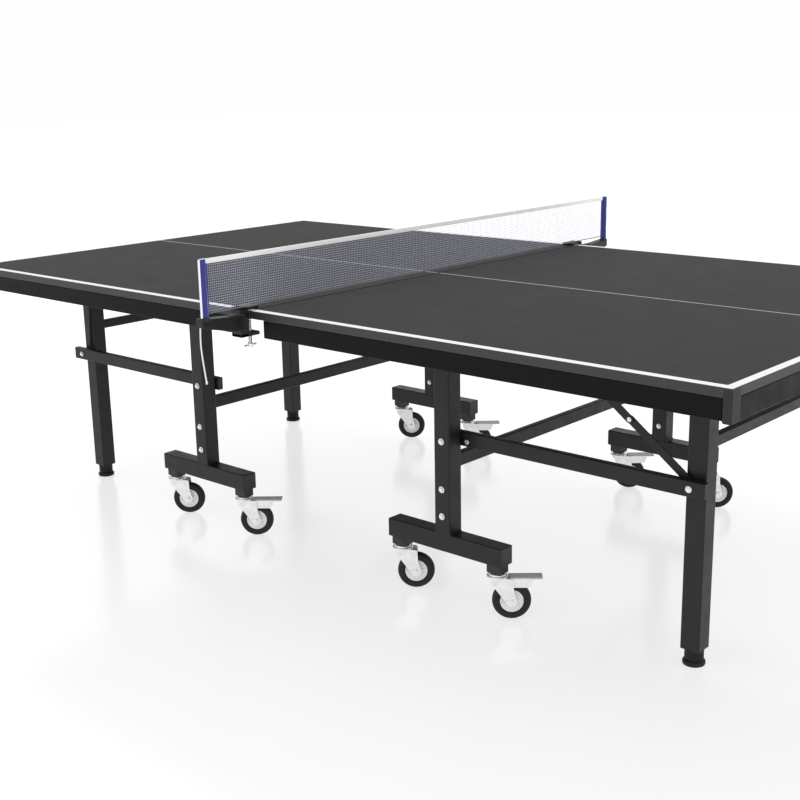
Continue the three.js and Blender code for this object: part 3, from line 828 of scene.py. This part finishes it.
def hub_shape():
    """A dished plastic hub with a boss, a rim, and six spokes with a bead between them."""
    boss = BOSS_HALF
    shape = Shape(HUB)
    flank = [(5.4, boss), (9.5, boss), (11, boss - 1.2), (11.6, 10), (12.6, 9.2), (25, 8.8), (26.4, 9.6)]
    flank += [(27.2, 10.9), (29.6, 11.1), (30.3, 10), (30.3, 0)]
    mirrored = [(radius, -y) for radius, y in reversed(flank[:-1])]
    shape.lathe("Y", (TRAIL, AXLE_Z), flank + mirrored, HUB, sides=48, closed=True)
    for k in range(6):
        turn = math.radians(60 * k + 12)
        out = Vector((math.cos(turn), math.sin(turn)))
        across = Vector((-out.y, out.x))
        corners = [out * 11 - across * 1.4, out * 26.5 - across, out * 26.5 + across, out * 11 + across * 1.4]
        outline = [(TRAIL + c.x, AXLE_Z + c.y) for c in corners]
        for side in (-1, 1):
            shape.plate(outline, "Y", on_side(side, 7.5, 10.2), HUB, edge=0.4)
            bead = (TRAIL + out.x * 19 + across.x * 9, AXLE_Z + out.y * 19 + across.y * 9)
            shape.rod("Y", bead, 1.8, on_side(side, 8.2, 9.8), HUB, sides=12, chamfer=0.5)
    return shape


def pedal_shape():
    """The brake lever: a ribbed grey pad on a plated channel that straddles the tyre."""
    shape = Shape(PEDAL_GREY, ZINC)
    half = PEDAL_HALF
    top = PEDAL_TOP
    tip = PEDAL_TIP
    shape.block((30, tip), (-half, half), (top - 4, top - 0.8), 1.2, PEDAL_GREY)
    shape.block((tip - 34, tip), (-half, half), (top - 5.5, top - 0.6), 1.6, PEDAL_GREY)
    for k in range(5):
        rib = tip - 29 + 6 * k
        shape.block((rib, rib + 2), (-half + 3, half - 3), (top - 1.2, top), 0.5, PEDAL_GREY)
    skirt = [(20, 102), (30, SKIRT_BOTTOM), (82, SKIRT_BOTTOM)]
    skirt += [(92, top - 4), (30, top - 4), (20, top - 4)]
    for side in (-1, 1):
        shape.plate(skirt, "Y", on_side(side, half - 2.2, half - 0.2), ZINC, edge=0.5)
    shoe = (50, 75)
    shape.block(shoe, (-10, 10), (106, top - 3.5), 1, ZINC)
    shape.rod("Y", PEDAL_PIN, PEDAL_PIN_RADIUS, (-half - 0.5, half + 0.5), ZINC)
    return shape


# ---- net ----
def clamp_shape(side):
    """A black steel clamp: two jaws, a spine, and an arm that carries the net post."""
    shape = Shape(STEEL, PLUG)
    x = CLAMP_X
    outer = CLAMP_OUTER
    face = HALF_WIDTH + 0.8
    tip = CLAMP_Y[0]
    board_top = BOARD_Z[1] + 0.3
    shape.block(x, on_side(side, tip, outer), (board_top + 1.2, CLAMP_Z[1]), 2.2, STEEL)
    shape.block((x[0] + 2, x[1] - 2), on_side(side, tip + 2, face - 3), (board_top, board_top + 2), 0.6, PLUG)
    shape.block(x, on_side(side, face, outer), (CLAMP_Z[0], CLAMP_Z[1]), 2.2, STEEL)
    shape.block(x, on_side(side, tip, outer), (CLAMP_Z[0], CLAMP_Z[0] + 10), 2.2, STEEL)
    arm = [(outer - 3, 714), (outer + 30, 714), (CLAMP_Y[1], 738), (CLAMP_Y[1], 762)]
    arm += [(outer + 30, 754), (outer - 3, 754)]
    outline = [(side * y, z) for y, z in arm]
    shape.plate(outline, "X", (-20, 9), STEEL, edge=2)
    shape.bolt("X", (side * (outer + 14), 734), 9, 1, 8, STEEL)
    shape.block((-14, 3), on_side(side, outer + 6, outer + 40), (752, 757), 1.5, PLUG)
    collar = [(0, POST_FOOT), (12.5, POST_FOOT), (13, 757), (13, 763), (11.5, 764.5), (0, 764.5)]
    shape.lathe("Z", (0, side * sum(POST_Y) / 2), collar, PLUG)
    return shape


def clamp_screw_shape(side):
    """A threaded screw with a swivel pad above and a tommy bar through its head below."""
    shape = Shape(CHROME, PLUG)
    centre = (sum(SCREW_X) / 2, side * sum(SCREW_Y) / 2)
    low, high = SCREW_Z
    head_top = low + 12
    shape.lathe("Z", centre, thread_profile(5, head_top - 1, high - 7), CHROME, sides=20)
    shape.rod("Z", centre, 10, (high - 5, high), PLUG, chamfer=1)
    shape.rod("Z", centre, 6, (high - 8, high - 4.5), CHROME)
    shape.rod("Z", centre, 8, (low, head_top), CHROME, chamfer=1.2)
    bar = (centre[1] - 20, centre[1] + 20)
    shape.rod("Y", (centre[0], low + 6), 2.6, bar, CHROME, sides=16)
    for end in bar:
        inwards = -1 if end > centre[1] else 1
        knob = (end, end + inwards * 4)
        shape.rod("Y", (centre[0], low + 6), 3.6, knob, CHROME, sides=16, chamfer=1.2)
    return shape


def post_shape(side):
    """The net post: a slim black tube standing in the arm."""
    shape = Shape(STEEL)
    centre = (0, side * sum(POST_Y) / 2)
    shape.rod("Z", centre, 7.5, (POST_FOOT, NET_Z[1] - 2), STEEL, sides=32)
    return shape


def sleeve_shape(side):
    """The net's sewn sleeve over the post, with turned hems, soft wrinkles and a seam tab."""
    shape = Shape(BLUE)
    middle = side * sum(POST_Y) / 2
    low = SLEEVE_BOTTOM
    high = NET_Z[1]
    steps = 26
    profile = [(8.4, low), (10.4, low + 0.4)]
    for k in range(steps + 1):
        t = k / steps
        z = low + 1 + t * (high - low - 3)
        hem = 0.5 if min(z - low, high - z) < 7 else 0
        wrinkle = 0.22 * math.sin(17 * t) + 0.15 * math.sin(41 * t + 1)
        profile.append((10 + hem + wrinkle, z))
    profile += [(9.6, high - 0.4), (7.5, high)]
    inner = [(7.4, high - 1), (7.9, low + 1)]
    shape.lathe("Z", (0, middle), profile + inner, BLUE, sides=40, closed=True)
    shape.rod("Z", (0, middle), 7.6, (high - 2.2, high - 0.5), BLUE)
    inner_edge = abs(middle) - 9
    tab = on_side(side, inner_edge - 8, inner_edge + 1)
    shape.block((-1.1, 1.1), tab, (NET_Z[0], NET_Z[1] - 0.5), 0.8, BLUE)
    return shape


def billow(y, z):
    """How far the net stands out of its plane, in millimetres: slack between its ends."""
    height = (NET_Z[1] - z) / (NET_Z[1] - NET_Z[0])
    return 1.3 * height * math.sin(y / 210) + 0.5 * height * math.sin(y / 47 + 1)


def add_strand(form, points, half):
    """A thin square twine through points in the net's plane, given as (y, z)."""
    rings = []
    for k, (y, z) in enumerate(points):
        run = run_at(points, k)
        across = Vector((0, -run.y, run.x)) * half
        out = Vector((half, 0, 0))
        middle = Vector((billow(y, z), y, z))
        corners = (middle + across, middle + out, middle - across, middle - out)
        rings.append([form.verts.new(corner) for corner in corners])
    skin(form, rings)


def net_shape():
    """Knotted square netting: real twine both ways and a knot at each crossing."""
    shape = Shape(NETTING)
    form = bmesh.new()
    end = NET_Y[1] - 1
    columns = round(2 * end / CELL)
    ys = [-end + 2 * end * k / columns for k in range(columns + 1)]
    bottom, top = NET_Z[0] + 1.5, NET_Z[1] - TAPE_DEPTH + 2
    rows = round((top - bottom) / CELL)
    zs = [bottom + (top - bottom) * k / rows for k in range(rows + 1)]
    for y in ys:
        add_strand(form, [(y, z) for z in zs[::4] + [zs[-1]]], STRAND)
    for z in zs[:-1]:
        add_strand(form, [(y, z) for y in ys[::4] + [ys[-1]]], STRAND)
    knot = STRAND * 1.9
    for y in ys:
        for z in zs[1:-1]:
            middle = Vector((billow(y, z), y, z))
            poles = [form.verts.new(middle + Vector((way * knot * 0.8, 0, 0))) for way in (-1, 1)]
            belt = [
                form.verts.new(middle + Vector((0, across * knot, up * knot)))
                for across, up in ((1, 0), (0, 1), (-1, 0), (0, -1))
            ]
            for pole in poles:
                for k in range(4):
                    form.faces.new([belt[k], belt[(k + 1) % 4], pole])
    shape.take(form, NETTING)
    return shape


def add_band(shape, z_low, z_high, half, material):
    """A band along the net with a lens-shaped section: thick at its hem, following the billow."""
    end = NET_Y[1] + 1
    steps = 96
    form = bmesh.new()
    flank = [(0.45, 0), (1, 0.25), (0.8, 0.7), (0.9, 0.92)]
    section = [(-out, up) for out, up in flank] + [(0, 1)] + flank[::-1]
    rings = []
    for k in range(steps + 1):
        y = -end + 2 * end * k / steps
        ring = []
        for out, up in section:
            z = z_low + up * (z_high - z_low)
            ring.append(form.verts.new((billow(y, z) + out * half, y, z)))
        rings.append(ring)
    skin(form, rings)
    shape.take(form, material)


def top_tape_shape():
    shape = Shape(TAPE)
    add_band(shape, NET_Z[1] - TAPE_DEPTH, NET_Z[1], 1.5, TAPE)
    return shape


def bottom_cord_shape():
    shape = Shape(HEM)
    add_band(shape, NET_Z[0], NET_Z[0] + 3, 1.3, HEM)
    return shape


def strap_shape():
    """White tape from the top band over the front post and down its outer side."""
    shape = Shape(TAPE)
    middle = -sum(POST_Y) / 2
    outside = middle - STRAP_OUT
    top = NET_Z[1] + 0.2
    bend = 4
    path = [(middle + STRAP_OUT + 2, top)]
    path += arc((outside + bend, top - bend), bend, 90, 180, 6)
    path += [(outside, 800), (outside, SLEEVE_BOTTOM), (outside - 1.5, SLEEVE_BOTTOM - 4)]
    form = bmesh.new()
    rings = []
    for k, (y, z) in enumerate(path):
        run = run_at(path, k)
        out = Vector((0, run.y, -run.x)) * STRAP_THICK
        ring = []
        for side_x, lift in ((-1, 0), (-0.92, 1), (0.92, 1), (1, 0)):
            ring.append(form.verts.new(Vector((side_x * STRAP_HALF, y, z)) - out * lift))
        rings.append(ring)
    skin(form, rings)
    turn = Matrix.Rotation(math.radians(STRAP_TURN), 3, "Z")
    bmesh.ops.rotate(form, cent=(0, middle, 0), matrix=turn, verts=form.verts)
    shape.take(form, TAPE)
    return shape


CORD_RADIUS = 0.002
KNOT_ANGLES = (0.6, 1.2, 1.8, 2.4)
CORD_POINTS = [
    (0.0000, -0.9305, 0.740),
    (0.0000, -0.9309, 0.733),
    (-0.0003, -0.9312, 0.725),
    (-0.0008, -0.9312, 0.716),
    (-0.0014, -0.9309, 0.707),
    (-0.0019, -0.9304, 0.698),
    (-0.0022, -0.9298, 0.688),
    (-0.0021, -0.9291, 0.678),
    (-0.0016, -0.9284, 0.668),
    (-0.0009, -0.9278, 0.658),
    (-0.0001, -0.9272, 0.648),
    (0.0008, -0.9266, 0.638),
    (0.0018, -0.9260, 0.628),
    (0.0029, -0.9254, 0.618),
    (0.0041, -0.9248, 0.608),
    (0.0052, -0.9242, 0.598),
]


def make_cord():
    """The free end of the net's tension cord, hanging from the front arm to its knot."""
    curve = bpy.data.curves.new("tension_cord_line", "CURVE")
    curve.dimensions = "3D"
    curve.bevel_depth = CORD_RADIUS
    curve.bevel_resolution = 4
    curve.use_fill_caps = True
    spline = curve.splines.new("NURBS")
    spline.points.add(len(CORD_POINTS) - 1)
    for point, place in zip(spline.points, CORD_POINTS):
        point.co = (*place, 1)
    spline.order_u = 4
    spline.use_endpoint_u = True
    spline.resolution_u = 6
    curve.materials.append(BRAID)
    cord = bpy.data.objects.new("hanging_cord", curve)
    bpy.context.scene.collection.objects.link(cord)
    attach(cord, "left_top")
    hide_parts("tension_cord")
    shape = Shape(BRAID)
    x, y, z = (value / MM for value in CORD_POINTS[-1])
    for lift, radius in ((1.5, 3.3), (-1.8, 3.0)):
        half_height = radius * 0.8
        middle = z + lift
        ball = [(0, middle - half_height)]
        ball += [(radius * math.sin(t), middle - half_height * math.cos(t)) for t in KNOT_ANGLES]
        ball += [(0, middle + half_height)]
        shape.lathe("Z", (x + lift * 0.2, y), ball, BRAID, sides=16)
    knot = show("cord_knot", shape.mesh("cord_knot"), "left_top")


# ---- assembly ----
def place_of(half, side):
    """Front or back, for a side of the right half's shapes once they are in their own half."""
    return "front" if (side < 0) == (half == "right") else "back"


def add_half(half):
    turn = 180 if half == "left" else 0

    def add(name, shape, body, slot="black_steel", has_node=True):
        full = f"{half}_{name}"
        nodes = [full] if has_node else []
        show(f"{full}_look", shape.mesh(full, turn), f"{half}_{body}", nodes)

    add("board", board_shape(), "top", "playfield")
    add("end_rail", end_rail_shape(), "top")
    add("carriage_crossbar", crossbar_shape(CARRIAGE_X, CARRIAGE_Y, CARRIAGE_Z), "carriage")
    add("leg_crossbar", crossbar_shape(LEG_BAR_X, LEG_BAR_Y, LEG_BAR_Z), "legs")
    for side in (-1, 1):
        place = place_of(half, side)
        add(f"{place}_side_rail", side_rail_shape(side, has_stay=side < 0), "top")
        add(f"{place}_corner_cap", corner_cap_shape(side), "top", "cap_plastic", has_node=False)
        add(f"{place}_t_frame", t_frame_shape(side), "carriage")
        add(f"{place}_link_rail", link_rail_shape(side), "links")
        add(f"{place}_end_leg", end_leg_shape(side, has_strut=side > 0), "legs")
    add("stay_lower", stay_lower_shape(-1), "stay_lower")
    add("stay_upper", stay_upper_shape(-1), "stay_upper")


def add_feet():
    mesh = foot_shape().mesh("levelling_foot")
    for half in HALVES:
        for place in PLACES:
            node = f"{half}_{place}_foot"
            x, y = extent(node)[:2]
            show(f"{node}_look", mesh, node, [node], (sum(x) / 2, sum(y) / 2, 0))


def add_casters():
    fork = fork_shape().mesh("caster_fork", REST_SWIVEL)
    tyre = tyre_shape().mesh("caster_tyre", REST_SWIVEL)
    hub = hub_shape().mesh("caster_hub", REST_SWIVEL)
    pedal = pedal_shape().mesh("brake_pedal", REST_SWIVEL)
    turn = math.radians(REST_SWIVEL)
    for half in HALVES:
        for place in PLACES:
            for end in ENDS:
                name = f"{half}_{place}_{end}"
                x, y = extent(f"{name}_wheel")[:2]
                at = (sum(x) / 2 - TRAIL * math.cos(turn), sum(y) / 2 - TRAIL * math.sin(turn), 0)
                wheel = f"{name}_wheel"
                show(f"{name}_fork_look", fork, f"{name}_fork", [f"{name}_fork"], at)
                show(f"{name}_tyre", tyre, wheel, [wheel], at)
                show(f"{name}_hub", hub, wheel, place=at)
                braked = "outer" if (half, place) == ("right", "front") else "inner"
                if end == braked:
                    node = f"{half}_{place}_brake_pedal"
                    show(f"{node}_look", pedal, node, [node], at)


def add_net():
    def add(name, shape, slot, nodes=(), body="left_top"):
        return show(name, shape.mesh(name), body, nodes)

    net = add("net_mesh", net_shape(), "netting", ["net"])
    parts = [add("net_top_tape", top_tape_shape(), "white_tape")]
    parts.append(add("net_bottom_cord", bottom_cord_shape(), "netting"))
    for side, place in ((-1, "front"), (1, "back")):
        add(f"{place}_net_clamp_look", clamp_shape(side), "black_steel", [f"{place}_net_clamp"])
        screw = f"{place}_clamp_screw"
        add(f"{screw}_look", clamp_screw_shape(side), "zinc", [screw], screw)
        add(f"{place}_net_post_tube", post_shape(side), "black_steel")
        parts.append(add(f"{place}_net_sleeve", sleeve_shape(side), "post_sleeve", [f"{place}_net_post"]))
    parts.append(add("net_strap", strap_shape(), "white_tape"))


make_cord()
for half in HALVES:
    add_half(half)
add_feet()
add_casters()
add_net()


# ---- studio ----
FLOOR_SIZE = 60
FLOOR_GLOW = 0.68
WHITE = (1, 1, 1)


def make_floor():
    """A plain pale floor with a low sheen, which is not part of the object."""
    colour = (0.28, 0.28, 0.28)
    material, tree, shader = new_material("studio_floor", colour, 0.17)
    shader.inputs["Specular IOR Level"].default_value = 0.3
    shader.inputs["Emission Color"].default_value = (*WHITE, 1)
    shader.inputs["Emission Strength"].default_value = FLOOR_GLOW
    mesh = bpy.data.meshes.new("floor")
    half = FLOOR_SIZE / 2
    corners = [(-half, -half, 0), (half, -half, 0), (half, half, 0), (-half, half, 0)]
    mesh.from_pydata(corners, [], [(0, 1, 2, 3)])
    mesh.materials.append(material)
    floor = bpy.data.objects.new("floor", mesh)
    bpy.context.scene.collection.objects.link(floor)


def add_light(name, place, target, size, power):
    data = bpy.data.lights.new(name, "AREA")
    data.shape = "DISK"
    data.size = size
    data.energy = power
    light = bpy.data.objects.new(name, data)
    light.location = place
    light.rotation_mode = "QUATERNION"
    light.rotation_quaternion = (Vector(target) - Vector(place)).to_track_quat("-Z", "Y")
    bpy.context.scene.collection.objects.link(light)


def make_world(strength):
    world = bpy.data.worlds.new("studio")
    world.use_nodes = True
    background = world.node_tree.nodes["Background"]
    background.inputs["Color"].default_value = (*WHITE, 1)
    background.inputs["Strength"].default_value = strength
    bpy.context.scene.world = world


make_floor()
make_world(0.99)
add_light("overhead", (0.2, 0.6, 4.2), (0, 0, 0.5), 3.5, 24)
add_light("right_key", (9.0, -2.6, 5.0), (0.4, 0, 0.5), 4.0, 90)
add_light("front_fill", (-0.6, -4.6, 1.7), (0, 0, 0.4), 2.6, 14)
bpy.context.scene.view_settings.view_transform = "Standard"
